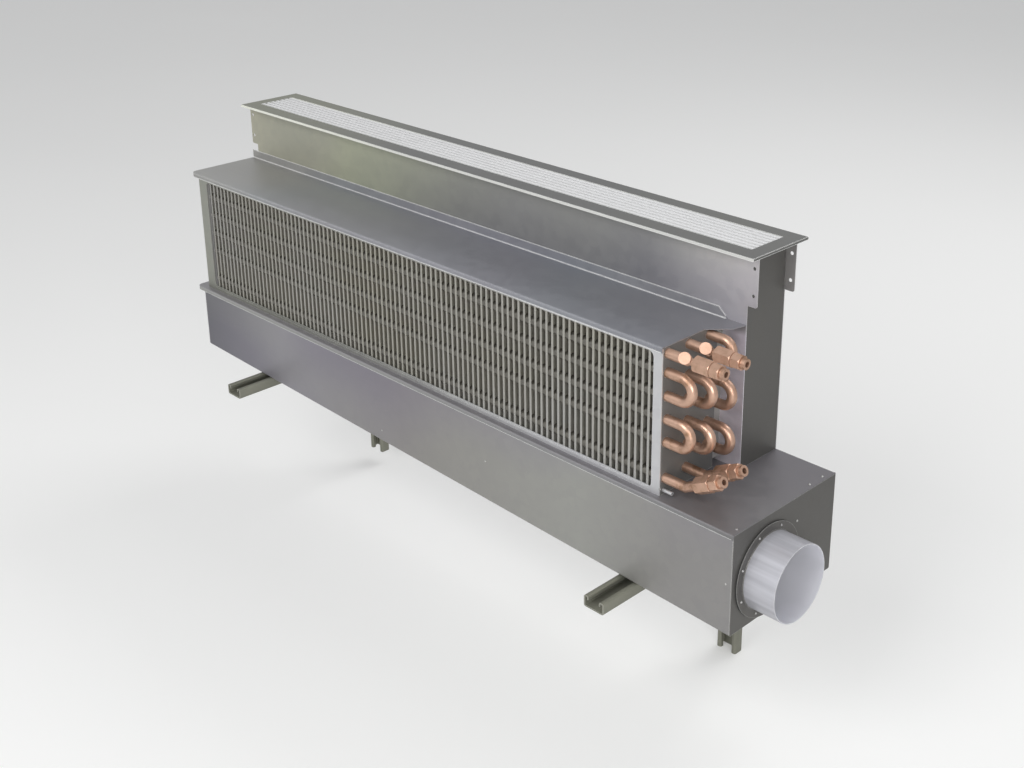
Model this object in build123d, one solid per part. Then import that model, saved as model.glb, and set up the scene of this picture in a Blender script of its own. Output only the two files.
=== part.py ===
from build123d import *
import os
from math import cos, floor, radians, sin, sqrt

# Air induction unit on two wall brackets. Millimetres, X along the unit towards the duct inlet,
# Y from the room side to the wall, Z up. Sizes are worked out from the far end of the plenum
# (X 0), its front face (Y 0) and the lowest point of its base (Z 0), and moved to the wall at the end.

# Sheet metal
sheet = 1.2
coil_sheet = 1.5
bend = 1.5
cut = 1.0

# Plenum: a sheet box whose base climbs away from the inlet, so that it gets shallower
plenum_length = 1395.0
plenum_depth = 257.0
plenum_height = 172.0
plenum_rise = 45.0
cap_flange = 18.0
corner_relief = 6.0
top_return = 9.0
panel_lip = 8.0
panel_overhang = 27.0
panel_corner = 12.0
liner = 25.0
liner_gap = 1.0

# Duct spigot in the inlet end
spigot_diameter = 126.0
spigot_wall = 1.0
spigot_out = 60.0
spigot_in = 12.0
spigot_flange = 14.0
spigot_root = 1.0
spigot_gap = 1.0
spigot_y = 86.0
spigot_z = 78.0
gasket = 2.0

# Primary air nozzles on the plenum, under the neck
nozzle_count = 12
nozzle_height = 26.0
nozzle_base_r = 11.0
nozzle_tip_r = 6.0
nozzle_bore_r = 4.0
nozzle_hole_r = 7.0
nozzle_plate_width = 60.0
nozzle_plate_rim = 10.0
nozzle_margin = 45.0

# Coil casing and fins
inlet_shoulder = 151.0
coil_front = 11.0
coil_depth = 129.0
coil_recess = 31.0
shelf_height = 245.0
frame_margin_left = 26.0
frame_margin_right = 17.0
frame_margin_top = 10.0
frame_margin_bottom = 6.0
frame_corner = 10.0
casing_flange_x = 16.0
casing_flange_z = 9.0
fin_pitch = 12.7
fin_thickness = 0.5
fin_first = 2.0
fin_gap = 0.5
fin_lip = 4.5

# Tubes of the coil: three rows, the middle one set half a pitch lower
tube_d = 15.9
tube_wall = 0.7
tube_pitch = 38.1
row_pitch = 48.0
row_tubes = 6
row_first = 11.5
grid_first = 49.4
top_tube_drop = 10.8
bottom_tube_rise = 27.0
tube_hole_gap = 0.25
tube_stub = 15.0
bend_leg = 14.0

# Pipe connections
connector_start = 26.0
connector_length = 14.0
cap_diameter = 18.2
cap_out = 12.5
cap_in = 5.0
cap_lift = 1.5
neck_diameter = 11.0
elbow_start = 26.0
elbow_leg = 16.0
elbow_run = 25.0
elbow_turn = 27.0
union_offset = 54.0
union_hex = 24.0
hex_chamfer = 1.8
hex_clear = 0.1
union_length = 30.0
union_spigot_d = 16.0
union_spigot = 12.0
union_bore = 9.0
nut_hex = 22.0
nut_length = 16.0
nut_gap = 0.3
tail_d = 17.0
tail_length = 7.5
tail_neck_d = 12.0
drain_d = 6.0
drain_bore = 4.0
drain_length = 18.0
drain_y = 9.0
drain_z = 7.0

# Shelf over the coil
shelf_overhang = 27.0
shelf_lip = 9.0
shelf_upstand = 17.0
flare_start = 55.0
flare_end = 26.0
flare_width = 30.0

# Discharge neck
neck_front = 162.0
neck_left = -8.0
neck_overhang = 36.0
neck_height = 360.5
collar_inset = 8.0
ear_width = 18.0
ear_height = 84.0
ear_corner = 4.0
ear_hole_d = 6.0
ear_hole_in = 8.0
ear_hole_low = 18.0
ear_hole_high = 62.0
neck_flange = 12.0

# Lift-out grille
grille_sheet = 1.5
grille_edge = 4.7
grille_over_front = 20.0
grille_over_back = 23.0
grille_over_left = 20.0
grille_over_right = 22.0
core_front = 12.0
core_end = 6.0
core_back = 5.0
skirt_depth = 18.0
skirt_sheet = 1.2
bar_count = 7
bar_top = 5.5
bar_foot = 3.0
bar_height = 10.0
rod_pitch = 12.7
rod_width = 3.0
rod_height = 5.0

# Wall brackets of slotted channel
channel_width = 41.3
channel_height = 20.6
channel_sheet = 2.5
channel_slot = 22.2
channel_lip = 7.0
channel_bend = 1.0
arm_from_far_end = 200.0
arm_from_inlet = 207.0
arm_front = -73.0
pad_thickness = 3.0
pad_inset = 10.0
plate_thickness = 6.0
plate_above = 40.0
plate_below = 85.0
wall_gap = 34.0
post_above = 128.0
post_below = 272.0
plate_bolt_z = (22.0, -58.0)
bolt_d = 10.0
bolt_head = 16.0
bolt_head_height = 6.0
bolt_gap = 0.5
channel_nut_length = 34.0
channel_nut_width = 20.0
channel_nut_height = 6.0
hold_d = 8.0
hold_head = 13.0
hold_head_height = 5.0
hold_inset = 45.0
wall_hole_d = 11.0
wall_hole_z = (-195.0, 105.0)

# Places that follow from the sizes
coil_length = plenum_length - inlet_shoulder
coil_back = coil_front + coil_depth
coil_base = plenum_height
shelf_top = plenum_height + shelf_height
coil_top = shelf_top - sheet
row_y = [coil_front + row_first + k * row_pitch for k in range(3)]
neck_right = coil_length + neck_overhang
neck_back = plenum_depth
neck_top = plenum_height + neck_height
grille_top = neck_top + grille_sheet
core_y0 = neck_front + core_front
core_y1 = neck_back - core_back
core_x0 = neck_left + core_end
core_x1 = neck_right - core_end
wall_y = plenum_depth + wall_gap
post_y = wall_y - channel_height
arm_x = (arm_from_far_end, plenum_length - arm_from_inlet)
origin_x = (arm_x[0] + arm_x[1]) / 2
origin_z = (wall_hole_z[0] + wall_hole_z[1]) / 2


def base_z(x):
    """Height of the underside of the plenum, which climbs away from the inlet."""
    return plenum_rise * (1 - x / plenum_length)


def sloped(x0, x1, low, high):
    """Outline in X and Z that follows the base, between two heights above its underside."""
    a, b = base_z(x0), base_z(x1)
    return [(x0, a + low), (x1, b + low), (x1, b + high), (x0, a + high)]


def box(x0, x1, y0, y1, z0, z1):
    """Box between two corners."""
    return Pos(x0, y0, z0) * Box(x1 - x0, y1 - y0, z1 - z0, align=(Align.MIN, Align.MIN, Align.MIN))


def rod(start, direction, length, radius):
    """Round bar from a point along a direction."""
    bar = Cylinder(radius, length, align=(Align.CENTER, Align.CENTER, Align.MIN))
    return Plane(origin=start, z_dir=direction) * bar


def slab_xz(points, y0, y1):
    """Outline in X and Z, given thickness along Y."""
    return along_y(make_face(Polyline(*points, close=True)), y0, y1)


def slab_xy(points, z0, z1):
    """Outline in X and Y, given thickness along Z."""
    return extrude(Pos(0, 0, z0) * make_face(Polyline(*points, close=True)), z1 - z0)


def folded(points, thickness, radius=bend):
    """Section of a folded sheet: the points are one face of it and the sheet lies to their left."""
    steps = [(Vector(*b) - Vector(*a)).normalized() for a, b in zip(points, points[1:])]
    left = [Vector(-d.Y, d.X) for d in steps]
    other = [Vector(*points[0]) + left[0] * thickness]
    near, far = [], []
    for k in range(1, len(points) - 1):
        turn = steps[k - 1].cross(steps[k]).Z
        other.append(Vector(*points[k]) + (left[k - 1] + left[k]) * thickness)
        near.append(radius + thickness if turn > 0 else radius)
        far.append(radius if turn > 0 else radius + thickness)
    other.append(Vector(*points[-1]) + left[-1] * thickness)
    one = FilletPolyline(*points, radius=near)
    two = FilletPolyline(*other, radius=far)
    return make_face([*one.edges(), Line(one @ 1, two @ 1), *two.edges(), Line(two @ 0, one @ 0)])


def along_x(section, x0, x1):
    """Section in Y and Z, run along X."""
    return extrude(Plane(origin=(x0, 0, 0), x_dir=(0, 1, 0), z_dir=(1, 0, 0)) * section, x1 - x0)


def along_z(section, z0, z1):
    """Section in X and Y, run along Z."""
    return extrude(Pos(0, 0, z0) * section, z1 - z0)


def along_y(section, y0, y1):
    """Section in X and Z, run along Y."""
    return extrude(Plane(origin=(0, y0, 0), x_dir=(1, 0, 0), z_dir=(0, -1, 0)) * section, -(y1 - y0))


def hex_bar(start, direction, length, across_flats):
    """Hexagonal bar from a point along a direction, its corners turned off at both ends."""
    plane = Plane(origin=start, z_dir=direction)
    bar = extrude(plane * RegularPolygon(across_flats / 2, 6, major_radius=False), length)
    turned = rod(start, direction, length, across_flats / sqrt(3) + hex_clear)
    return bar & chamfer(turned.edges().filter_by(GeomType.CIRCLE), hex_chamfer)


# Plenum


def plenum_trough():
    """Front, base and back folded from one sheet, with returns that carry the top panel."""
    x0, x1 = sheet, plenum_length - sheet
    top = plenum_height - sheet

    def wedge(inset, height):
        low = [(x0, base_z(x0) + inset), (x1, base_z(x1) + inset)]
        solid = slab_xz([*low, (x1, height), (x0, height)], inset, plenum_depth - inset)
        edges = [e for e in solid.edges().filter_by(GeomType.LINE) if e.length > plenum_length / 2]
        lower = sorted(edges, key=lambda e: e.center().Z)[:2]
        return fillet(lower, bend + sheet - inset)

    trough = wedge(0, top) - wedge(sheet, top + sheet)
    for y0, y1 in ((sheet, top_return), (plenum_depth - top_return, plenum_depth - sheet)):
        trough += box(x0, x1, y0, y1, top - sheet, top)
    upper = trough.edges().filter_by(Axis.X).group_by(Axis.Z)[-1].sort_by(Axis.Y)
    trough = fillet([upper[0], upper[-1]], bend)
    for x in arm_x:
        for y in hold_y():
            trough -= rod((x, y, base_z(x) - sheet), (0, 0, 1), 4 * sheet, hold_d / 2 + bolt_gap)
    return trough


def waste_corner(x, y, z0, z1):
    """What is cut off a corner at X and Y to round it."""
    r = panel_corner
    return box(x - cut, x + r, y - cut, y + r, z0, z1) - rod((x + r, y + r, z0), (0, 0, 1), z1 - z0, r)


def plenum_top_panel():
    """Lid with a folded front lip; it runs past the far end and has an air slot under the neck."""
    h = plenum_height
    section = folded([(plenum_depth, h), (-sheet, h), (-sheet, h - panel_lip)], sheet)
    panel = along_x(section, -panel_overhang, plenum_length)
    x0, x1, y0, y1 = nozzle_plate_place()
    rim = nozzle_plate_rim
    panel -= waste_corner(-panel_overhang, -sheet, h - 2 * panel_lip, h + sheet)
    return panel - box(x0 + rim, x1 - rim, y0 + rim, y1 - rim, h - 2 * sheet, h + sheet)


def plenum_cap(x_out, inward):
    """End pan: a plate on the end of the trough and three flanges that fit inside it."""
    low, top = base_z(x_out), plenum_height - sheet
    x_in = x_out + inward * sheet
    x_end = x_in + inward * cap_flange
    cap = box(min(x_out, x_in), max(x_out, x_in), 0, plenum_depth, max(low, base_z(x_in)), top)
    cap = fillet(cap.edges().filter_by(Axis.X).sort_by(Axis.Z)[:2], bend + sheet)
    cap = fillet(cap.edges().filter_by(Axis.X).sort_by(Axis.Z)[-2:], bend)
    xa, xb = min(x_in, x_end), max(x_in, x_end)
    z0 = max(base_z(xa), base_z(xb)) + 2 * sheet + corner_relief
    for y0 in (sheet, plenum_depth - 2 * sheet):
        cap += box(xa, xb, y0, y0 + sheet, z0, top - sheet - corner_relief)
    foot = sloped(xa, xb, sheet, 2 * sheet)
    return cap + slab_xz(foot, corner_relief, plenum_depth - corner_relief)


def plenum_left_cap():
    return plenum_cap(0, 1)


def plenum_right_cap():
    """Inlet end, bored for the spigot."""
    start = (plenum_length - 2 * sheet, spigot_y, spigot_z)
    return plenum_cap(plenum_length, -1) - rod(start, (1, 0, 0), 4 * sheet, spigot_diameter / 2 + spigot_gap)


def base_liner():
    """Sound-absorbing slab on the base."""
    x0 = sheet + cap_flange + liner_gap
    x1 = plenum_length - sheet - cap_flange - liner_gap
    low = sheet + liner_gap / 2
    inset = sheet + bend + liner_gap
    slab = slab_xz(sloped(x0, x1, low, low + liner), inset, plenum_depth - inset)
    for x in arm_x:
        for y in hold_y():
            slab -= rod((x, y, base_z(x) - sheet), (0, 0, 1), 3 * liner, hold_head)
    return slab


def back_liner():
    """Sound-absorbing slab on the back wall, above the base slab."""
    x0 = sheet + cap_flange + liner_gap
    x1 = plenum_length - sheet - cap_flange - liner_gap
    top = plenum_height - 2 * sheet - liner_gap
    low = sheet + liner + 2 * liner_gap
    y1 = plenum_depth - sheet - liner_gap / 2
    return slab_xz([(x0, base_z(x0) + low), (x1, base_z(x1) + low), (x1, top), (x0, top)], y1 - liner, y1)


# Inlet spigot


def inlet_spigot():
    """Short duct with a flat flange that bends into it, turned about its axis."""
    r = spigot_diameter / 2
    inner, outer = r - spigot_wall, r + spigot_flange
    x0, x1 = plenum_length - spigot_in, plenum_length + spigot_out
    seat = plenum_length + gasket
    front = seat + sheet
    duct = [(seat, outer), (seat, r), (x0, r), (x0, inner), (x1, inner), (x1, r)]
    root = [(front + spigot_root, r), (front, r + spigot_root), (front, outer)]
    section = make_face(Polyline(*duct, *root, close=True))
    return Pos(0, spigot_y, spigot_z) * revolve(Plane.XY * section, Axis.X)


def spigot_gasket():
    """Soft ring between the flange and the end cap."""
    r = spigot_diameter / 2
    start = (plenum_length, spigot_y, spigot_z)
    return rod(start, (1, 0, 0), gasket, r + spigot_flange) - rod(start, (1, 0, 0), gasket, r + spigot_gap)


# Primary air nozzles


def nozzle_plate_place():
    """Extent of the nozzle plate, in the middle of the neck."""
    middle = (neck_front + neck_back) / 2
    half = nozzle_plate_width / 2
    return neck_left + nozzle_margin, neck_right - nozzle_margin, middle - half, middle + half


def nozzle_places():
    x0, x1, y0, y1 = nozzle_plate_place()
    step = (x1 - x0) / nozzle_count
    return [(x0 + (k + 0.5) * step, (y0 + y1) / 2) for k in range(nozzle_count)]


def nozzle_plate():
    """Plate over the air slot, with one hole under each nozzle."""
    x0, x1, y0, y1 = nozzle_plate_place()
    plate = box(x0, x1, y0, y1, plenum_height, plenum_height + coil_sheet)
    for x, y in nozzle_places():
        plate -= rod((x, y, plenum_height - cut), (0, 0, 1), coil_sheet + 2 * cut, nozzle_hole_r)
    return plate


def primary_nozzles():
    """Tapered nozzles that throw the duct air up the neck."""
    z0 = plenum_height + coil_sheet
    top = nozzle_height
    outline = [(nozzle_hole_r, 0), (nozzle_base_r, 0), (nozzle_tip_r, top), (nozzle_bore_r, top)]
    one = revolve(Plane.XZ * make_face(Polyline(*outline, close=True)), Axis.Z)
    return [Pos(x, y, z0) * one for x, y in nozzle_places()]


# Coil casing


def coil_face_frame():
    """Face of the coil: a plate round one wide opening with rounded corners."""
    x0, x1 = frame_margin_left, coil_length - frame_margin_right
    z0, z1 = coil_base + frame_margin_bottom, coil_top - frame_margin_top
    plate = box(0, coil_length, coil_front, coil_front + coil_sheet, coil_base, coil_top - bend)
    hole = box(x0, x1, coil_front - cut, coil_front + coil_sheet + cut, z0, z1)
    return plate - fillet(hole.edges().filter_by(Axis.Y), frame_corner)


def casing_y():
    return coil_front + coil_sheet, coil_back


def tube_sheet(x_web, x_free):
    """Channel with its web across the tubes, a clearance hole round each, and flanges to one side."""
    y0, y1 = casing_y()
    section = folded([(x_free, y0), (x_web, y0), (x_web, y1), (x_free, y1)], coil_sheet)
    web = along_z(section, coil_base, coil_top)
    for y, z in tube_places():
        start = (x_web - 2 * coil_sheet, y, z)
        web -= rod(start, (1, 0, 0), 4 * coil_sheet, tube_d / 2 + tube_hole_gap)
    return web


def coil_left_tube_sheet():
    """Far end of the fins; its flanges are the sides of the space for the bends."""
    return tube_sheet(coil_recess, 0)


def coil_end_cover():
    """Channel that closes the space for the bends at the far end, above, below and outside."""
    y0, y1 = casing_y()
    x = coil_recess - coil_sheet
    section = folded([(x, coil_top), (0, coil_top), (0, coil_base), (x, coil_base)], coil_sheet)
    inset = coil_sheet + bend
    return along_y(section, y0 + inset, y1 - inset)


def coil_right_tube_sheet():
    """End with the connections; the drain leaves it at the front corner."""
    end = tube_sheet(coil_length, coil_length - casing_flange_x)
    start = (coil_length - 2 * coil_sheet, coil_front + drain_y, coil_base + drain_z)
    return end - rod(start, (1, 0, 0), 4 * coil_sheet, drain_bore / 2)


def casing_plate(z_out, inward):
    """Top or bottom of the casing: a channel between the tube sheets."""
    y0, y1 = casing_y()
    x0, x1 = coil_recess, coil_length - coil_sheet
    z_in = z_out + inward * casing_flange_z
    points = [(y1, z_in), (y1, z_out), (y0, z_out), (y0, z_in)]
    if inward > 0:
        points.reverse()
    fx0, fx1 = coil_recess, coil_length - casing_flange_x
    plate = along_x(folded(points, coil_sheet), fx0, fx1)
    za, zb = sorted((z_out, z_out + inward * coil_sheet))
    inset = coil_sheet + bend
    return plate + box(x0, x1, y0 + inset, y1 - inset, za, zb)


def coil_top_plate():
    return casing_plate(coil_top, -1)


def coil_bottom_plate():
    return casing_plate(coil_base, 1)


def coil_fins():
    """Parallel fins across the whole coil, gripped by the tubes; each has a narrow front return."""
    y0, y1 = casing_y()
    count = floor((coil_length - coil_recess - fin_first - coil_sheet) / fin_pitch) + 1
    x_last = coil_length - coil_sheet - fin_gap - fin_lip
    places = [coil_recess + fin_first + k * fin_pitch for k in range(count)]
    z0, z1 = coil_base + coil_sheet + fin_gap, coil_top - coil_sheet - fin_gap
    ya, yb = y0 + coil_sheet + fin_gap, y1 - coil_sheet - fin_gap
    fin = box(0, fin_thickness, ya, yb, z0, z1) + box(0, fin_lip, ya, ya + fin_thickness, z0, z1)
    return [Pos(x, 0, 0) * fin for x in places if x <= x_last]


# Tubes


def grid_z(k):
    """Height of the k-th place of the tube grid."""
    return coil_base + grid_first + k * tube_pitch


def row_heights():
    """Tube heights by row, from the bottom up."""
    low, high = coil_base + bottom_tube_rise, coil_top - top_tube_drop
    front = [low, *(grid_z(k) for k in range(1, row_tubes - 1)), high]
    middle = [low, *(grid_z(k + 0.5) for k in range(row_tubes - 2)), high]
    rear = [*(grid_z(k) for k in range(row_tubes - 1)), high]
    return [front, middle, rear]


def tube_places():
    return [(y, z) for y, heights in zip(row_y, row_heights()) for z in heights]


def place(row, step):
    return row_y[row], row_heights()[row][step]


def is_connection(row, step):
    """Whether a tube ends in a connection: the lowest and the highest of the first two rows."""
    return row < 2 and step in (0, row_tubes - 1)


def coil_tubes():
    """Straight tubes, left open inside; the four connections reach further out."""
    tubes = []
    for row in range(len(row_y)):
        for step in range(row_tubes):
            y, z = place(row, step)
            out = elbow_start if is_connection(row, step) else tube_stub
            x0, x1 = coil_recess, coil_length + out
            tube = rod((x0, y, z), (1, 0, 0), x1 - x0, tube_d / 2)
            tubes.append(tube - rod((x0, y, z), (1, 0, 0), x1 - x0, tube_d / 2 - tube_wall))
    return tubes


def right_joints():
    """Pairs of tubes joined at the inlet end, as row and step of both."""
    first_steps = ((0, 1), (1, 1), (2, 0))
    return [((row, k), (row, k + 1)) for row, first in first_steps for k in range(first, row_tubes - 1, 2)]


def left_joints():
    """Pairs joined at the far end: the front row to itself, the middle row to the rear one."""
    front = [((0, k), (0, k + 1)) for k in range(0, row_tubes, 2)]
    return front + [((1, k), (2, k)) for k in range(row_tubes)]


def return_bend(a, b, x, outward, leg):
    """Bend from one tube to the next; a wide one has a straight stretch between two elbows."""
    ya, za = place(*a)
    yb, zb = place(*b)
    start = Vector(x, ya, za)
    across = Vector(0, yb - ya, zb - za)
    span = across.length
    r = min(span, tube_pitch) / 2
    plane = Plane(origin=start, x_dir=(outward, 0, 0), z_dir=Vector(outward, 0, 0).cross(across))
    k = r * (1 - cos(radians(45)))
    path = [ThreePointArc((leg, 0), (leg + r - k, k), (leg + r, r))]
    if span > 2 * r + 0.01:
        path.append(Line((leg + r, r), (leg + r, span - r)))
    path.append(ThreePointArc((leg + r, span - r), (leg + r - k, span - k), (leg, span)))
    if leg > 0:
        path = [Line((0, 0), (leg, 0)), *path, Line((leg, span), (0, span))]
    wire = plane * Wire([e for item in path for e in item.edges()])
    return sweep(Plane(origin=start, z_dir=(outward, 0, 0)) * Circle(tube_d / 2), path=wire)


def return_bends():
    """Brazed bends that join the tubes into two circuits."""
    right = [return_bend(a, b, coil_length + tube_stub, 1, bend_leg) for a, b in right_joints()]
    left = [return_bend(a, b, coil_recess, -1, 0) for a, b in left_joints()]
    return right + left


# Pipe connections


def union_axes():
    """Start and direction of the four unions: upper front, upper rear, lower front, lower rear."""
    rise = radians(elbow_turn)
    tilt = Vector(cos(rise), 0, sin(rise))
    axes = []
    for row in (0, 1):
        y, z = place(row, -1)
        axes.append((Vector(coil_length + union_offset, y, z), Vector(1, 0, 0)))
    for row in (0, 1):
        y, z = place(row, 0)
        corner = Vector(coil_length + elbow_start + elbow_leg, y, z)
        axes.append((corner + tilt * elbow_run, tilt))
    return axes


def upper_connectors():
    """Brazed end of each upper tube: a capped boss to the room side and a thin neck to the union."""
    parts = []
    for row in (0, 1):
        y, z = place(row, -1)
        start = Vector(coil_length + connector_start, y, z)
        barrel = rod(start, (1, 0, 0), connector_length, tube_d / 2)
        face = Vector(0.5, -0.75, 0.45).normalized()
        centre = start + Vector(connector_length / 2, 0, cap_lift)
        boss = rod(centre - face * cap_in, face, cap_in + cap_out, cap_diameter / 2)
        neck = rod(start, (1, 0, 0), union_offset - connector_start, neck_diameter / 2)
        parts.append(barrel + boss + neck - rod(start, (-1, 0, 0), connector_length, tube_d / 2))
    return parts


def lower_elbows():
    """Mitred elbow of each lower tube, turned up towards its union."""
    parts = []
    rise = radians(elbow_turn)
    for row in (0, 1):
        y, z = place(row, 0)
        start = Vector(coil_length + elbow_start, y, z)
        corner = start + Vector(elbow_leg, 0, 0)
        end = corner + Vector(cos(rise), 0, sin(rise)) * elbow_run
        section = Plane(origin=start, z_dir=(1, 0, 0)) * Circle(tube_d / 2)
        parts.append(sweep(section, path=Polyline(start, corner, end), transition=Transition.RIGHT))
    return parts


def union_bodies():
    """Hexagonal bodies, each with the spigot that its nut turns on."""
    bodies = []
    for start, axis in union_axes():
        body = hex_bar(start, axis, union_length, union_hex)
        body += rod(start + axis * union_length, axis, union_spigot, union_spigot_d / 2)
        bodies.append(body - rod(start + axis, axis, union_length + union_spigot, union_bore / 2))
    return bodies


def union_tails():
    """Tail pieces that hold the nuts on; their open ends take the water pipes."""
    tails = []
    for start, axis in union_axes():
        x0 = start + axis * (union_length + union_spigot)
        inner = nut_length + 2 * nut_gap - union_spigot
        tail = rod(x0, axis, inner + tail_length, tail_neck_d / 2)
        tail += rod(x0 + axis * inner, axis, tail_length, tail_d / 2)
        tails.append(tail - rod(x0, axis, inner + tail_length, union_bore / 2))
    return tails


def union_nut(index):
    """One nut, free to turn between its body and its tail."""
    start, axis = union_axes()[index]
    x0 = start + axis * (union_length + nut_gap)
    return hex_bar(x0, axis, nut_length, nut_hex) - rod(x0, axis, nut_length, union_spigot_d / 2 + nut_gap)


def drain_stub():
    """Condensate outlet at the front corner of the casing."""
    start = (coil_length, coil_front + drain_y, coil_base + drain_z)
    stub = rod(start, (1, 0, 0), drain_length, drain_d / 2)
    return stub - rod(start, (1, 0, 0), drain_length, drain_bore / 2)


# Shelf, collar and neck


def shelf_cover():
    """Cover over the coil, with a lip down in front and an upstand at the neck."""
    y_back = neck_front - sheet
    section = folded([(y_back, shelf_top + shelf_upstand), (y_back, shelf_top),
                      (coil_front - sheet, shelf_top), (coil_front - sheet, shelf_top - shelf_lip)], sheet)
    cover = along_x(section, -shelf_overhang, coil_length)
    cover -= waste_corner(-shelf_overhang, coil_front - sheet, shelf_top - 2 * shelf_lip, shelf_top + sheet)
    x, top = coil_length, shelf_top + shelf_upstand
    tip = [(x, top), (x - shelf_upstand, top), (x, shelf_top + sheet + bend)]
    return cover - slab_xz(tip, neck_front - 2 * sheet, neck_front + sheet)


def shelf_corner():
    """Flared rear corner of the shelf at the inlet end, flush with the cover."""
    x, y = coil_length, neck_front
    flare = [(x, y - flare_start), (x + flare_width, y - flare_end), (neck_right, y), (x, y)]
    return slab_xy(flare, shelf_top - sheet, shelf_top)


def collar_place():
    """Extent of the collar, inside the flanges of the casing."""
    x0, x1 = coil_recess + collar_inset, coil_length - collar_inset
    return x0, x1, coil_base + collar_inset, coil_top - collar_inset


def outlet_collar():
    """Short duct from the back of the coil to the neck."""
    x0, x1, z0, z1 = collar_place()
    outer = box(x0, x1, coil_back, neck_front, z0, z1)
    return outer - box(x0 + sheet, x1 - sheet, coil_back, neck_front, z0 + sheet, z1 - sheet)


def ear_panel(y0, y1):
    """Neck panel with an ear at each upper corner and two holes in each ear."""
    low = neck_top - ear_height
    right = [(neck_right, low), (neck_right + ear_width, low), (neck_right + ear_width, neck_top)]
    left = [(neck_left - ear_width, neck_top), (neck_left - ear_width, low), (neck_left, low)]
    panel = slab_xz([(neck_left, plenum_height), (neck_right, plenum_height), *right, *left], y0, y1)
    corners = panel.edges().filter_by(Axis.Y).group_by(Axis.X)
    panel = fillet(corners[0] + corners[-1], ear_corner)
    for x in (neck_left - ear_width + ear_hole_in, neck_right + ear_width - ear_hole_in):
        for z in (low + ear_hole_low, low + ear_hole_high):
            panel -= rod((x, y0 - cut, z), (0, 1, 0), y1 - y0 + 2 * cut, ear_hole_d / 2)
    return panel


def neck_front_panel():
    """Room-side panel, open behind the coil."""
    x0, x1, z0, z1 = collar_place()
    panel = ear_panel(neck_front, neck_front + sheet)
    y0, y1 = neck_front - cut, neck_front + sheet + cut
    return panel - box(x0 + sheet, x1 - sheet, y0, y1, z0 + sheet, z1 - sheet)


def neck_back_panel():
    return ear_panel(neck_back - sheet, neck_back)


def neck_end(x_out, inward):
    """End of the neck: a plate with a flange against each panel."""
    y0, y1 = neck_front + sheet, neck_back - sheet
    x_in = x_out + inward * neck_flange
    points = [(x_in, y0), (x_out, y0), (x_out, y1), (x_in, y1)]
    if inward > 0:
        points.reverse()
    return along_z(folded(points, sheet), plenum_height, neck_top)


def neck_left_end():
    return neck_end(neck_left, 1)


def neck_right_end():
    return neck_end(neck_right, -1)


# Grille


def grille_frame():
    """Flanged frame that lies on the neck, with a skirt that drops inside it."""
    x0, x1 = neck_left - grille_over_left, neck_right + grille_over_right
    y0, y1 = neck_front - grille_over_front, neck_back + grille_over_back
    g, s = grille_sheet, skirt_sheet
    frame = box(x0, x1, y0, y1, grille_top - grille_edge, grille_top)
    frame = fillet(frame.edges().group_by(Axis.Z)[-1], g / 2)
    frame -= box(x0 + g, x1 - g, y0 + g, y1 - g, 0, neck_top)
    frame += box(core_x0 - s, core_x1 + s, core_y0 - s, core_y1 + s, neck_top - skirt_depth, neck_top)
    return frame - box(core_x0, core_x1, core_y0, core_y1, 0, grille_top + cut)


def grille_bars():
    """Linear bars, narrower at the foot."""
    step = (core_y1 - core_y0) / bar_count
    bars = []
    for k in range(bar_count):
        y = core_y0 + (k + 0.5) * step
        top, foot = bar_top / 2, bar_foot / 2
        z1 = grille_top
        points = [(y - foot, z1 - bar_height), (y + foot, z1 - bar_height), (y + top, z1), (y - top, z1)]
        bars.append(along_x(make_face(Polyline(*points, close=True)), core_x0, core_x1))
    return bars


def grille_cross_rods():
    """Cross rods under the bars, from side to side of the skirt."""
    z1 = grille_top - bar_height
    count = floor((core_x1 - core_x0 - rod_width) / rod_pitch)
    first = (core_x0 + core_x1 - count * rod_pitch - rod_width) / 2
    places = [first + k * rod_pitch for k in range(count + 1)]
    return [box(x, x + rod_width, core_y0, core_y1, z1 - rod_height, z1) for x in places]


# Wall brackets


def hold_y():
    return hold_inset, plenum_depth - hold_inset


def arm_top(x):
    """The arms carry the base through pads that take up its slope."""
    return base_z(x + channel_width / 2) - pad_thickness


def channel_section():
    """Slotted channel, its slot towards +Y of the section."""
    w, h, slot = channel_width / 2, channel_height, channel_slot / 2
    left = [(-slot, h - channel_lip), (-slot, h), (-w, h), (-w, 0)]
    right = [(-x, y) for x, y in reversed(left)]
    return folded(left + right, channel_sheet, channel_bend)


def bracket_arm(x):
    """Arm under the plenum, slot up."""
    end = post_y - plate_thickness
    plane = Plane(origin=(x, arm_front, arm_top(x) - channel_height), x_dir=(-1, 0, 0), z_dir=(0, 1, 0))
    return extrude(plane * channel_section(), end - arm_front)


def bracket_pad(x):
    """Rubber wedge between an arm and the sloping base."""
    w = channel_width / 2
    top = arm_top(x)
    points = [(x - w, top), (x + w, top), (x + w, base_z(x + w)), (x - w, base_z(x - w))]
    pad = slab_xz(points, pad_inset, plenum_depth - pad_inset)
    for y in hold_y():
        pad -= rod((x, y, top - cut), (0, 0, 1), 3 * pad_thickness, hold_d / 2 + bolt_gap)
    return pad


def bracket_plate(x):
    """Plate welded to the arm and bolted to the post."""
    w = channel_width / 2
    top = arm_top(x)
    plate = box(x - w, x + w, post_y - plate_thickness, post_y, top - plate_below, top + plate_above)
    for z in plate_bolt_z:
        start = (x, post_y - 2 * plate_thickness, top + z)
        plate -= rod(start, (0, 1, 0), 3 * plate_thickness, bolt_d / 2 + bolt_gap)
    return plate


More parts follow.
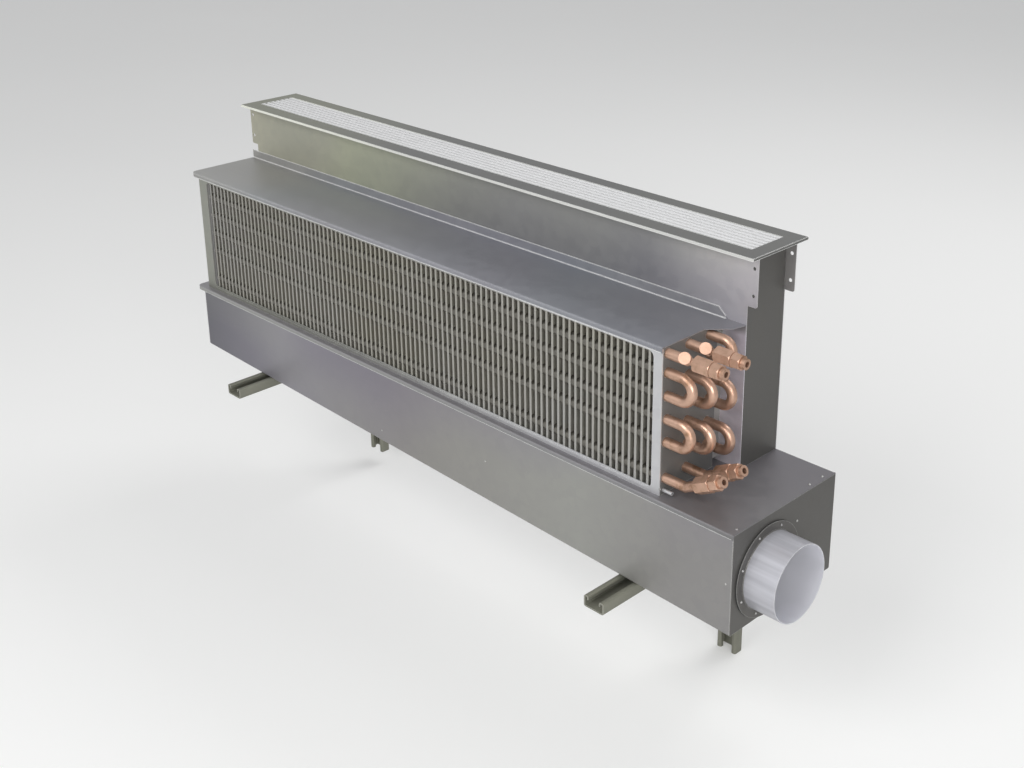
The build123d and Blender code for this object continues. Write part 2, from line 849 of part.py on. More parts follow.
def bracket_post(x):
    """Upright on the wall, slot towards the room, with two holes for the wall bolts."""
    top = arm_top(x)
    plane = Plane(origin=(x, wall_y, top - post_below), x_dir=(-1, 0, 0), z_dir=(0, 0, 1))
    post = extrude(plane * channel_section(), post_below + post_above)
    for z in wall_hole_z:
        post -= rod((x, wall_y - 2 * channel_sheet, z), (0, 1, 0), 4 * channel_sheet, wall_hole_d / 2)
    return post


def plate_bolts():
    """Bolts through the plates into the channel nuts of the posts."""
    bolts = []
    y = post_y - plate_thickness
    for x in arm_x:
        for z in plate_bolt_z:
            centre = Vector(x, y, arm_top(x) + z)
            bolt = hex_bar(centre, (0, -1, 0), bolt_head_height, bolt_head)
            bolts.append(bolt + rod(centre, (0, 1, 0), plate_thickness + channel_lip, bolt_d / 2))
    return bolts


def channel_nuts():
    """Nuts behind the channel lips: two in each post and two in each arm."""
    length, width, height = channel_nut_length, channel_nut_width, channel_nut_height
    nuts = []
    for x in arm_x:
        for z in plate_bolt_z:
            y0 = post_y + channel_lip
            c = arm_top(x) + z
            nuts.append(box(x - length / 2, x + length / 2, y0, y0 + height, c - width / 2, c + width / 2))
        for y in hold_y():
            z1 = arm_top(x) - channel_lip
            nuts.append(box(x - length / 2, x + length / 2, y - width / 2, y + width / 2, z1 - height, z1))
    return nuts


def hold_down_bolts():
    """Bolts from inside the plenum into the channel nuts of the arms."""
    bolts = []
    for x in arm_x:
        seat = base_z(x - hold_head) + sheet
        for y in hold_y():
            shank = seat - arm_top(x) + channel_lip
            bolt = hex_bar((x, y, seat), (0, 0, 1), hold_head_height, hold_head)
            bolts.append(bolt + rod((x, y, seat), (0, 0, -1), shank, hold_d / 2))
    return bolts


nodes = {
    "plenum_trough": plenum_trough(),
    "plenum_top_panel": plenum_top_panel(),
    "plenum_left_cap": plenum_left_cap(),
    "plenum_right_cap": plenum_right_cap(),
    "base_liner": base_liner(),
    "back_liner": back_liner(),
    "inlet_spigot": inlet_spigot(),
    "spigot_gasket": spigot_gasket(),
    "nozzle_plate": nozzle_plate(),
    "primary_nozzles": primary_nozzles(),
    "coil_face_frame": coil_face_frame(),
    "coil_left_tube_sheet": coil_left_tube_sheet(),
    "coil_end_cover": coil_end_cover(),
    "coil_right_tube_sheet": coil_right_tube_sheet(),
    "coil_top_plate": coil_top_plate(),
    "coil_bottom_plate": coil_bottom_plate(),
    "coil_fins": coil_fins(),
    "coil_tubes": coil_tubes(),
    "return_bends": return_bends(),
    "upper_connectors": upper_connectors(),
    "lower_elbows": lower_elbows(),
    "union_bodies": union_bodies(),
    "union_tails": union_tails(),
    "drain_stub": drain_stub(),
    "shelf_cover": shelf_cover(),
    "shelf_corner": shelf_corner(),
    "outlet_collar": outlet_collar(),
    "neck_front_panel": neck_front_panel(),
    "neck_back_panel": neck_back_panel(),
    "neck_left_end": neck_left_end(),
    "neck_right_end": neck_right_end(),
    "grille_frame": grille_frame(),
    "grille_bars": grille_bars(),
    "grille_cross_rods": grille_cross_rods(),
    "plate_bolts": plate_bolts(),
    "channel_nuts": channel_nuts(),
    "hold_down_bolts": hold_down_bolts(),
}
for index, name in enumerate(("upper_front", "upper_rear", "lower_front", "lower_rear")):
    nodes[name + "_nut"] = union_nut(index)
for side, x in zip(("left", "right"), arm_x):
    nodes[side + "_arm"] = bracket_arm(x)
    nodes[side + "_arm_pad"] = bracket_pad(x)
    nodes[side + "_arm_plate"] = bracket_plate(x)
    nodes[side + "_post"] = bracket_post(x)

os.makedirs("parts", exist_ok=True)
to_wall = Pos(-origin_x, -wall_y, -origin_z)
for name, shape in nodes.items():
    solids = shape if isinstance(shape, list) else [shape]
    moved = [to_wall * s for solid in solids for s in solid.solids()]
    export_step(moved[0] if len(moved) == 1 else Compound(children=moved), "parts/" + name + ".step")
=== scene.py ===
import bpy
from math import cos, radians, sin, tau
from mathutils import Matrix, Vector


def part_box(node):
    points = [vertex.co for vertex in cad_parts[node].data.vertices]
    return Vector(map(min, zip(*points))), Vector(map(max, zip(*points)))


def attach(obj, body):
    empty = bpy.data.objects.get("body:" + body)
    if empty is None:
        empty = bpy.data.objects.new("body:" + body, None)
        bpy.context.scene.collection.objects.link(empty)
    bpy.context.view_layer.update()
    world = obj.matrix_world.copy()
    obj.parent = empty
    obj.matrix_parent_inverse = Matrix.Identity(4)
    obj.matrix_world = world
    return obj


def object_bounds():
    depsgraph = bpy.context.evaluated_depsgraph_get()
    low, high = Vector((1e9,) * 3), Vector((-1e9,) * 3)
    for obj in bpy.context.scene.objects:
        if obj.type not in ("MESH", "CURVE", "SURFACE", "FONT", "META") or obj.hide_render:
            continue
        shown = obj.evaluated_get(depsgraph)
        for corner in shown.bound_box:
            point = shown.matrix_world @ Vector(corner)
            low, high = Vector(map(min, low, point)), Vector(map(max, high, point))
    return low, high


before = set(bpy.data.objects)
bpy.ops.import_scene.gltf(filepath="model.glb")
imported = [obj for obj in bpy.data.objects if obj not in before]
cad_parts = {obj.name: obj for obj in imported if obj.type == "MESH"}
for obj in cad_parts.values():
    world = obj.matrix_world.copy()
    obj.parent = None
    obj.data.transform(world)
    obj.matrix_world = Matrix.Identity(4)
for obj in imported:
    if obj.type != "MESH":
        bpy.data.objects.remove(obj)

cad_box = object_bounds()

# Colours, as linear values
white = (1.0, 1.0, 1.0)
zinc = (0.385, 0.38, 0.38)
zinc_lilac = (0.35, 0.34, 0.36)
zinc_blue = (0.35, 0.355, 0.37)
zinc_olive = (0.40, 0.41, 0.36)
zinc_dark = (0.155, 0.152, 0.146)
zinc_light = (0.60, 0.60, 0.61)
# Colour of the painted highlights on folded and cut edges
highlight_white = (0.95, 0.95, 0.93)
spangle_dim = (0.94, 0.94, 0.95)
# Flange colour painted dark as shade
flange_shade_grey = (0.105, 0.10, 0.093)
duct_dull = (0.40, 0.40, 0.43)
duct_bright = (0.54, 0.54, 0.58)
# Colour painted as light inside the duct
duct_inside_lit = (0.90, 0.90, 0.95)
fin_light = (0.41, 0.405, 0.385)
# Fin sides painted lighter, as light between the fins
fin_side_lit = (0.52, 0.505, 0.46)
fin_warmth = (0.92, 0.90, 0.82)
fin_dust = (0.30, 0.28, 0.24)
# Fins' collar colour, darkened as painted shade between the fins
collar_shade_grey = (0.185, 0.175, 0.155)
copper_light = (0.66, 0.43, 0.32)
copper_dark = (0.36, 0.21, 0.135)
fitting_light = (0.64, 0.41, 0.30)
fitting_dark = (0.36, 0.22, 0.145)
# Lighter colours painted as light on front faces: the top panel's lip and the grille frame's front
top_front_lit = (0.37, 0.37, 0.365)
frame_front_lit = (0.80, 0.80, 0.79)
bar_white = (0.80, 0.80, 0.80)
liner_black = (0.030, 0.030, 0.032)
rubber_black = (0.022, 0.022, 0.022)
plastic_black = (0.035, 0.035, 0.037)
floor_grey = (0.80, 0.80, 0.79)
sky_tint = (0.97, 0.98, 1, 1)

# The low, middle and high tints of each sheet's clouds
sheet_cloud = (zinc_lilac, zinc, zinc_olive)
plenum_cloud = ((0.32, 0.31, 0.34), (0.365, 0.36, 0.362), (0.395, 0.395, 0.365))
top_cloud = (zinc_lilac, (0.30, 0.29, 0.30), zinc)
shelf_cloud = (zinc_lilac, zinc_blue, zinc)
neck_cloud = ((0.345, 0.345, 0.355), zinc, (0.42, 0.42, 0.385))
back_cloud = (zinc, zinc, (0.40, 0.395, 0.38))
# The end plates' tints are painted dark as shade
end_shade_cloud = ((0.115, 0.112, 0.105), (0.125, 0.121, 0.113), (0.135, 0.131, 0.122))
casing_cloud = (zinc, zinc_light, zinc_light)
tube_sheet_cloud = (zinc_dark, zinc_dark, (0.175, 0.172, 0.163))
frame_cloud = ((0.165, 0.165, 0.165), (0.18, 0.18, 0.175), (0.19, 0.19, 0.175))
channel_cloud = ((0.24, 0.24, 0.195), (0.27, 0.27, 0.22), (0.29, 0.29, 0.235))
fastener_cloud = ((0.34, 0.335, 0.33), (0.40, 0.39, 0.38), (0.45, 0.45, 0.43))

# Painted light and shade, with some tint, along a sheet's length: gains from the far end, 0, to
# the inlet end, 1. The first two stops are the ends, as a new colour ramp has them.
neck_light_sweep = [(0.0, (1.5, 1.47, 1.15)), (1.0, (2.0, 1.95, 2.0)), (0.25, (1.16, 1.20, 1.0)),
              (0.45, (0.82, 0.83, 0.80)), (0.75, (0.74, 0.74, 0.78)), (0.88, (1.5, 1.45, 1.5))]
back_light_sweep = [(0.0, (1.0, 1.0, 0.96)), (1.0, (1.5, 1.45, 1.5)), (0.86, (1.0, 0.99, 1.0)),
              (0.5, (0.9, 0.9, 0.92))]
frame_light_sweep = [(0.0, (1.4, 1.42, 1.22)), (1.0, (0.88, 0.88, 0.86)), (0.35, (1.1, 1.1, 1.05))]
casing_light_sweep = [(0.0, (0.60, 0.61, 0.52)), (1.0, white), (0.3, (0.74, 0.75, 0.68)), (0.7, white)]
top_light_sweep = [(0.0, (1.0, 1.0, 0.97)), (1.0, (0.50, 0.49, 0.50)), (0.8, (0.72, 0.71, 0.74))]
front_light_sweep = [(0.0, (0.54, 0.55, 0.56)), (1.0, (0.76, 0.74, 0.79)), (0.2, (0.95, 0.94, 0.98)),
               (0.45, (0.84, 0.81, 0.83)), (0.75, (0.93, 0.93, 0.94)), (0.88, (0.78, 0.76, 0.80))]
shelf_light_sweep = [(0.0, (1.05, 1.05, 1.0)), (1.0, (0.72, 0.71, 0.76)), (0.5, (0.92, 0.95, 0.98))]
# Painted light on the inlet end of the neck's front, below the shelf
foot_light_start = 0.53
foot_light_gain = (1.6, 1.56, 1.65)

# Sheets and the painted highlights on their edges, in metres
sheet = 0.0012
edge_radius = 0.0011
lip_radius = 0.0022
fold_radius = 0.0034
edge_fade = 0.001
top_edge_stop = 0.003
shelf_edge_stop = 0.002
foot_light_fade = 0.01
duct_radius = 0.063
inside_from = 0.0004
inside_to = 0.0008
flange_fade = 0.0002
collar_reach = 0.0155
collar_fade = 0.0001

# Small fasteners, in metres
rivet_radius = 0.0021
rivet_height = 0.0013
spot_radius = 0.0016
head_segments = 18
flange_rivet_count = 8
flange_rivet_in = 0.007
top_screw_in = 0.008
top_screws_from_back = (0.0586, 0.0247, 0.2402)
end_screw_from_front = 0.1584
end_screw_height = 0.1287
casing_screws_from_end = ((0.1634, 0.4559), (0.1503, 0.2292))
front_rivets_from_end = ((0.0109, 0.1311), (0.5309, 0.1364), (0.8147, 0.0928))

# Directions
to_front = (0, -1, 0)
to_inlet = (1, 0, 0)
upwards = (0, 0, 1)

# Camera: place in metres, angles in degrees, focal length and shift in image widths
camera_place = (1.742, -1.695, 1.284)
camera_yaw = 44.13
camera_pitch = 20.44
camera_focal = 1390 / 1024
camera_shift = (-0.06, -0.12)
sensor_width = 36

# Floor, sky and lamps; a lamp has its place, target, size and power
floor_size = 60
floor_lift = 0.22
sky_white = 0.86
sky_light = 0.42
sky_mirrored = 0.55
lamps = {
    "key": ((0.4, -3.7, 3.0), (0, -0.15, 0.2), 2.4, 90),
    "fill": ((3.2, -2.2, 1.5), (0.4, -0.15, 0.1), 1.8, 52),
    "back": ((0.4, 2.6, 3.2), (0, 0, 0.3), 2.0, 40),
}


# Shader helpers


def surface(name, roughness, metallic=0.0):
    """New material with its principled shader; constants stay on the shader's own sockets."""
    made = bpy.data.materials.new(name)
    made.use_nodes = True
    shader = made.node_tree.nodes["Principled BSDF"]
    shader.inputs["Roughness"].default_value = roughness
    shader.inputs["Metallic"].default_value = metallic
    return made, made.node_tree, shader


def put(tree, socket, value):
    """Links a socket to another, or sets its value."""
    if isinstance(value, bpy.types.NodeSocket):
        tree.links.new(value, socket)
    else:
        socket.default_value = value


def add(tree, kind, **values):
    """New node with some of its inputs set or linked."""
    made = tree.nodes.new(kind)
    for key, value in values.items():
        put(tree, made.inputs[key.replace("_", " ")], value)
    return made


def place_in(tree, stretch=(1, 1, 1)):
    """Object coordinates, stretched along each axis."""
    coords = tree.nodes.new("ShaderNodeTexCoord").outputs["Object"]
    return add(tree, "ShaderNodeMapping", Vector=coords, Scale=stretch).outputs["Vector"]


def noise(tree, scale, detail=2.0, roughness=0.5, stretch=(1, 1, 1)):
    """Cloudy value from about 0.3 to 0.7."""
    made = add(tree, "ShaderNodeTexNoise", Vector=place_in(tree, stretch), Scale=scale,
               Detail=detail, Roughness=roughness)
    return made.outputs["Fac"]


def ramp(tree, value, *stops):
    """Colour ramp through (position, colour) stops."""
    made = add(tree, "ShaderNodeValToRGB", Fac=value)
    band = made.color_ramp
    for k, (where, colour) in enumerate(stops):
        stop = band.elements[k] if k < 2 else band.elements.new(where)
        stop.position = where
        stop.color = (*colour, 1)
    return made.outputs["Color"]


def span(tree, value, low, high, to_low, to_high):
    """Value mapped from one range to another, clamped."""
    made = add(tree, "ShaderNodeMapRange", Value=value)
    for socket, number in zip(made.inputs[1:5], (low, high, to_low, to_high)):
        socket.default_value = number
    return made.outputs["Result"]


def mix(tree, factor, a, b, blend="MIX"):
    """Blend of two colours; a plain colour is a tuple of three."""
    made = tree.nodes.new("ShaderNodeMix")
    made.data_type = "RGBA"
    made.blend_type = blend
    for socket, value in ((made.inputs[0], factor), (made.inputs[6], a), (made.inputs[7], b)):
        put(tree, socket, (*value, 1) if isinstance(value, tuple) else value)
    return made.outputs[2]


def tinted(tree, a, b):
    """Product of two colours."""
    return mix(tree, 1.0, a, b, "MULTIPLY")


def calc(tree, operation, a, b):
    """Sum, product or the like of two values."""
    made = tree.nodes.new("ShaderNodeMath")
    made.operation = operation
    put(tree, made.inputs[0], a)
    put(tree, made.inputs[1], b)
    return made.outputs[0]


def measure(tree, operation, a, b):
    """Dot product or distance of two vectors."""
    made = tree.nodes.new("ShaderNodeVectorMath")
    made.operation = operation
    put(tree, made.inputs[0], a)
    put(tree, made.inputs[1], b)
    return made.outputs["Value"]


def bump(tree, shader, height, strength, distance):
    """Fine relief on the surface."""
    made = add(tree, "ShaderNodeBump", Height=height, Strength=strength, Distance=distance)
    tree.links.new(made.outputs["Normal"], shader.inputs["Normal"])


def along(tree, axis, low, high):
    """Place along one axis of the object, from 0 to 1."""
    split = add(tree, "ShaderNodeSeparateXYZ", Vector=place_in(tree))
    return span(tree, split.outputs[axis], low, high, 0, 1)


def flat_normal(tree):
    """Normal of the bare face."""
    return tree.nodes.new("ShaderNodeNewGeometry").outputs["True Normal"]


def facing(tree, direction):
    """How far the surface faces a fixed direction, from 0 to 1."""
    return span(tree, measure(tree, "DOT_PRODUCT", flat_normal(tree), direction), 0.55, 0.95, 0, 1)


def edge_highlight(tree, radius):
    """From 0 on a flat face to 1 on a folded or cut edge, where a highlight is painted."""
    soft = add(tree, "ShaderNodeBevel", Radius=radius)
    soft.samples = 6
    turn = measure(tree, "DOT_PRODUCT", soft.outputs["Normal"], flat_normal(tree))
    return span(tree, turn, 0.985, 0.90, 0, 1)


def scaled(colour, gain):
    """Colour made darker or lighter."""
    return tuple(gain * c for c in colour)


# Materials


def galvanised(name, cloud, roughness=0.42, metallic=0.6, patch=1.5, light_sweep=None, edge=0.45,
               radius=edge_radius, lit_front=None, edge_end=None, light_foot=None):
    """Hot-dipped sheet: broad cloudy tints, crystal spangle, rolling lines, stains, painted edge
    highlights.

    The sweep paints light and shade, with some tint, along its length; the front colour is painted
    light on what faces the front; edge and radius say how bright and wide the painted highlights on
    its edges are, edge_end is where they stop; and below the foot height the inlet end has painted
    light.
    """
    made, tree, shader = surface(name, roughness, metallic)
    low, middle, high = cloud
    patches = noise(tree, scale=patch, detail=1.2, roughness=0.4, stretch=(0.9, 1, 1.7))
    colour = ramp(tree, patches, (0.36, low), (0.62, high), (0.49, middle))
    cells = add(tree, "ShaderNodeTexVoronoi", Vector=place_in(tree), Scale=70.0, Randomness=1.0)
    shade = tree.nodes.new("ShaderNodeRGBToBW")
    tree.links.new(cells.outputs["Color"], shade.inputs["Color"])
    spangle = shade.outputs["Val"]
    colour = tinted(tree, colour, ramp(tree, spangle, (0.1, spangle_dim), (0.9, white)))
    # Painted light: faces towards the front get a lighter colour
    if lit_front:
        colour = mix(tree, facing(tree, to_front), colour, lit_front)
    # Painted light and shade along the sheet's length
    if light_sweep:
        length = along(tree, "X", cad_box[0].x, cad_box[1].x)
        colour = tinted(tree, colour, ramp(tree, length, *light_sweep))
    # Painted light: below the shelf, the inlet end is lightened
    if light_foot:
        right = along(tree, "X", foot_light_start, foot_light_start + foot_light_fade)
        lit = calc(tree, "MULTIPLY", right, along(tree, "Z", light_foot, light_foot - foot_light_fade))
        colour = mix(tree, lit, colour, tinted(tree, colour, foot_light_gain))
    stain = span(tree, noise(tree, scale=6.0, detail=5.0, roughness=0.6),
                 low=0.52, high=0.75, to_low=0, to_high=0.08)
    colour = mix(tree, stain, colour, scaled(middle, 0.7))
    # Painted highlight: folded and cut edges are lightened as if they caught the light
    bright = calc(tree, "MULTIPLY", edge_highlight(tree, radius), edge)
    if edge_end:
        bright = calc(tree, "MULTIPLY", bright, along(tree, "X", edge_end, edge_end - edge_fade))
    colour = mix(tree, bright, colour, highlight_white)
    tree.links.new(colour, shader.inputs["Base Color"])
    lines = noise(tree, scale=260.0, detail=2.0, roughness=0.5, stretch=(0.02, 1, 1))
    gloss = span(tree, spangle, low=0, high=1, to_low=roughness - 0.05, to_high=roughness + 0.05)
    gloss = calc(tree, "ADD", gloss, calc(tree, "MULTIPLY", lines, 0.06))
    tree.links.new(gloss, shader.inputs["Roughness"])
    waves = noise(tree, scale=5.0, detail=1.0)
    ripple = calc(tree, "ADD", calc(tree, "MULTIPLY", lines, 0.5), waves)
    bump(tree, shader, ripple, strength=0.12, distance=0.0012)
    return made


def copper(name, light, dark, collar_end=None, roughness=0.38, metallic=0.85):
    """Drawn tube, slightly oxidised and duller in patches; up to collar_end it takes the colour of
    the fins' collars, darkened as painted shade between the fins."""
    made, tree, shader = surface(name, roughness, metallic)
    patches = noise(tree, scale=38.0, detail=4.0, roughness=0.6)
    middle = tuple((2 * a + b) / 3 for a, b in zip(light, dark))
    colour = ramp(tree, patches, (0.34, dark), (0.58, light), (0.44, middle))
    specks = span(tree, noise(tree, scale=420.0, detail=3.0, roughness=0.6),
                  low=0.60, high=0.72, to_low=0, to_high=0.3)
    colour = mix(tree, specks, colour, dark)
    # Collar colour inside the fin pack, darkened as painted shade between the fins
    if collar_end:
        outside = along(tree, "X", collar_end - collar_fade, collar_end)
        colour = mix(tree, outside, collar_shade_grey, colour)
    tree.links.new(colour, shader.inputs["Base Color"])
    gloss = span(tree, patches, low=0.3, high=0.7, to_low=roughness + 0.08,
                 to_high=roughness - 0.08)
    tree.links.new(gloss, shader.inputs["Roughness"])
    bump(tree, shader, noise(tree, scale=300.0, detail=2.0), strength=0.10, distance=0.0004)
    return made


def aluminium_fins():
    """Fins with a colour for their folded front edges, a lighter one for their sides that paints
    light into the shade between fins, and dust.
    """
    made, tree, shader = surface("fin_aluminium", roughness=0.42, metallic=0.5)
    tint = ramp(tree, noise(tree, scale=2.6, detail=2.0), (0.36, fin_warmth), (0.64, white))
    # Painted light: the fins' sides are lighter than their front edges, to lift the shade between
    # fins
    colour = tinted(tree, mix(tree, facing(tree, to_front), fin_side_lit, fin_light), tint)
    dust = span(tree, noise(tree, scale=60.0, detail=5.0, roughness=0.7, stretch=(1, 1, 0.35)),
                low=0.5, high=0.75, to_low=0, to_high=0.3)
    colour = mix(tree, dust, colour, fin_dust)
    tree.links.new(colour, shader.inputs["Base Color"])
    streaks = noise(tree, scale=180.0, detail=2.0, roughness=0.5, stretch=(1, 1, 0.05))
    gloss = span(tree, streaks, low=0.3, high=0.7, to_low=0.36, to_high=0.52)
    tree.links.new(gloss, shader.inputs["Roughness"])
    bump(tree, shader, streaks, strength=0.10, distance=0.0005)
    return made


def duct_metal():
    """Rolled duct, streaked along its axis, with painted light inside and its flange painted dark
    as shade.
    """
    made, tree, shader = surface("spigot_metal", roughness=0.4, metallic=0.35)
    streaks = noise(tree, scale=60.0, detail=3.0, roughness=0.6, stretch=(0.03, 1, 1))
    colour = ramp(tree, streaks, (0.35, duct_dull), (0.65, duct_bright))
    low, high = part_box("spigot_gasket")
    axis = (0, (low.y + high.y) / 2, (low.z + high.z) / 2)
    # Painted shade: the duct's flange is dark
    flange_end = high.x + 2 * sheet
    beyond = along(tree, "X", flange_end, flange_end + flange_fade)
    colour = mix(tree, beyond, flange_shade_grey, colour)
    # Painted light: the duct's inside is lighter
    away = measure(tree, "DISTANCE", place_in(tree, (0, 1, 1)), axis)
    inside = span(tree, away, low=duct_radius - inside_to, high=duct_radius - inside_from,
                  to_low=1, to_high=0)
    colour = mix(tree, inside, colour, duct_inside_lit)
    # Painted highlight on the duct's edges
    bright = calc(tree, "MULTIPLY", edge_highlight(tree, edge_radius), 0.4)
    colour = mix(tree, bright, colour, highlight_white)
    tree.links.new(colour, shader.inputs["Base Color"])
    gloss = span(tree, streaks, low=0.3, high=0.7, to_low=0.34, to_high=0.46)
    tree.links.new(gloss, shader.inputs["Roughness"])
    bump(tree, shader, streaks, strength=0.12, distance=0.0006)
    return made


def painted(name, colour, roughness):
    """Powder coat: fine orange peel and a faint film of dust."""
    made, tree, shader = surface(name, roughness)
    dust = span(tree, noise(tree, scale=14.0, detail=5.0, roughness=0.65),
                low=0.45, high=0.8, to_low=0, to_high=0.14)
    tree.links.new(mix(tree, dust, colour, scaled(colour, 0.72)), shader.inputs["Base Color"])
    peel = noise(tree, scale=500.0, detail=1.0)
    gloss = span(tree, peel, low=0.3, high=0.7, to_low=roughness - 0.05, to_high=roughness + 0.07)
    tree.links.new(gloss, shader.inputs["Roughness"])
    bump(tree, shader, peel, strength=0.08, distance=0.0003)
    return made


def felt(name, colour):
    """Black tissue over mineral wool."""
    made, tree, shader = surface(name, roughness=0.95)
    fibres = noise(tree, scale=240.0, detail=5.0, roughness=0.7, stretch=(0.3, 1, 1))
    shade = ramp(tree, fibres, (0.35, colour), (0.7, scaled(colour, 2.4)))
    tree.links.new(shade, shader.inputs["Base Color"])
    bump(tree, shader, fibres, strength=0.6, distance=0.001)
    return made


def moulded(name, colour, roughness):
    """Rubber or plastic with a fine mould grain and worn, paler patches."""
    made, tree, shader = surface(name, roughness)
    worn = span(tree, noise(tree, scale=30.0, detail=4.0, roughness=0.6),
                low=0.45, high=0.75, to_low=0, to_high=1)
    tree.links.new(mix(tree, worn, colour, scaled(colour, 1.8)), shader.inputs["Base Color"])
    bump(tree, shader, noise(tree, scale=900.0, detail=1.0), strength=0.15, distance=0.0003)
    return made


def floor_paint():
    """Pale seamless floor, faintly cloudy; it is lifted a little for the camera alone."""
    made, tree, shader = surface("floor_paint", roughness=0.8)
    cloud = noise(tree, scale=0.8, detail=2.0)
    shade = ramp(tree, cloud, (0.3, scaled(floor_grey, 0.985)), (0.7, floor_grey))
    tree.links.new(shade, shader.inputs["Base Color"])
    shader.inputs["Emission Color"].default_value = (*floor_grey, 1)
    seen = tree.nodes.new("ShaderNodeLightPath").outputs["Is Camera Ray"]
    lift = calc(tree, "MULTIPLY", seen, floor_lift)
    tree.links.new(lift, shader.inputs["Emission Strength"])
    return made


shelf_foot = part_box("shelf_cover")[0].z
shelf_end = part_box("shelf_cover")[1].x - shelf_edge_stop
top_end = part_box("plenum_top_panel")[1].x - top_edge_stop
collar_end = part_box("coil_right_tube_sheet")[0].x + collar_reach
looks = {
    "plenum": galvanised("plenum_sheet", plenum_cloud, patch=2.0, light_sweep=front_light_sweep),
    "sheet": galvanised("sheet", sheet_cloud),
    "top": galvanised("top_sheet", top_cloud, roughness=0.45, metallic=0.5, light_sweep=top_light_sweep,
                      edge=0.9, radius=lip_radius, lit_front=top_front_lit, edge_end=top_end),
    "shelf": galvanised("shelf_sheet", shelf_cloud, metallic=0.55, light_sweep=shelf_light_sweep,
                        edge=1.0, radius=fold_radius, edge_end=shelf_end),
    "corner": galvanised("shelf_corner_sheet", shelf_cloud, metallic=0.55, light_sweep=shelf_light_sweep,
                         edge=0),
    "neck": galvanised("neck_sheet", neck_cloud, roughness=0.38, patch=2.2, light_sweep=neck_light_sweep,
                       light_foot=shelf_foot),
    "neck_back": galvanised("neck_back_sheet", back_cloud, roughness=0.40, patch=1.3,
                            light_sweep=back_light_sweep),
    "ends": galvanised("end_sheet", end_shade_cloud, roughness=0.45, metallic=0.5),
    "casing": galvanised("casing_sheet", casing_cloud, light_sweep=casing_light_sweep),
    "tube_sheet": galvanised("tube_sheet_metal", tube_sheet_cloud, roughness=0.5, metallic=0.3),
    "frame": galvanised("grille_frame_metal", frame_cloud, light_sweep=frame_light_sweep, edge=0.95,
                        radius=lip_radius, lit_front=frame_front_lit),
    "channel": galvanised("channel_metal", channel_cloud, roughness=0.5, metallic=0.5, patch=9.0,
                          edge=0.3),
    "fastener": galvanised("fastener_metal", fastener_cloud, roughness=0.36, metallic=0.8,
                           patch=60.0),
    "spigot": duct_metal(),
    "tubes": copper("coil_tube_metal", copper_light, copper_dark, collar_end),
    "copper": copper("copper_tube", copper_light, copper_dark),
    "fitting": copper("fitting_metal", fitting_light, fitting_dark, roughness=0.44, metallic=0.8),
    "fins": aluminium_fins(),
    "bars": painted("bar_white", bar_white, roughness=0.35),
    "liner": felt("liner_felt", liner_black),
    "rubber": moulded("rubber_black", rubber_black, roughness=0.75),
    "nozzle": moulded("nozzle_black", plastic_black, roughness=0.45),
}

# Which CAD nodes wear each look
dressed = {
    "plenum": ["plenum_trough"],
    "sheet": ["plenum_left_cap", "nozzle_plate", "outlet_collar"],
    "top": ["plenum_top_panel"],
    "shelf": ["shelf_cover"],
    "corner": ["shelf_corner"],
    "neck": ["neck_front_panel"],
    "neck_back": ["neck_back_panel"],
    "ends": ["plenum_right_cap", "neck_left_end", "neck_right_end"],
    "casing": ["coil_face_frame", "coil_end_cover", "coil_top_plate", "coil_bottom_plate",
               "drain_stub"],
    "tube_sheet": ["coil_left_tube_sheet", "coil_right_tube_sheet"],
    "frame": ["grille_frame"],
    "channel": [side + part for side in ("left", "right")
                for part in ("_arm", "_arm_plate", "_post")],
    "fastener": ["plate_bolts", "channel_nuts", "hold_down_bolts"],
    "spigot": ["inlet_spigot"],
    "tubes": ["coil_tubes"],
    "copper": ["return_bends", "lower_elbows"],
    "fitting": ["upper_connectors", "union_bodies", "union_tails", "upper_front_nut",
                "upper_rear_nut", "lower_front_nut", "lower_rear_nut"],
    "fins": ["coil_fins"],
    "bars": ["grille_bars", "grille_cross_rods"],
    "liner": ["base_liner", "back_liner"],
    "rubber": ["spigot_gasket", "left_arm_pad", "right_arm_pad"],
    "nozzle": ["primary_nozzles"],
}
for look, nodes in dressed.items():
    for name in nodes:
        mesh = bpy.data.objects[name].data
        mesh.materials.clear()
        mesh.materials.append(looks[look])


# Small fasteners


def turned(points, faces, place, direction, profile):
    """Adds a body of revolution to a mesh in the making: (radius, height) rings from the rim in."""
    axis = Vector(direction)
    side = axis.orthogonal().normalized()
    up = axis.cross(side)
    first = len(points)
    around = range(head_segments)
    for radius, height in profile:
        for k in around:
            turn = tau * k / head_segments
            out = side * (radius * cos(turn)) + up * (radius * sin(turn))
            points.append(Vector(place) + out + axis * height)
    for ring in range(len(profile) - 1):
        low, high = first + ring * head_segments, first + (ring + 1) * head_segments
        for k in around:
            n = (k + 1) % head_segments
            faces.append((low + k, low + n, high + n, high + k))
    last = first + (len(profile) - 1) * head_segments
    faces.append(tuple(last + k for k in around))
    faces.append(tuple(first + k for k in reversed(around)))


def heads(name, places, direction, radius, height, hollow):
    """Heads on a flat sheet, as one piece; a rivet's middle is hollow and a screw's is flat."""
    points, faces = [], []
    middle = 0.35 * height if hollow else 0.92 * height
    profile = [(radius, 0), (radius, 0.2 * height), (0.86 * radius, 0.62 * height),
               (0.62 * radius, 0.92 * height), (0.42 * radius, height), (0.34 * radius, middle)]
    for place in places:
        turned(points, faces, place, direction, profile)
    mesh = bpy.data.meshes.new(name)
    mesh.from_pydata(points, [], faces)
    mesh.materials.append(looks["fastener"])
    for face in mesh.polygons:
        face.use_smooth = len(face.vertices) == 4
    piece = bpy.data.objects.new(name, mesh)
    bpy.context.scene.collection.objects.link(piece)
    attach(piece, "unit")


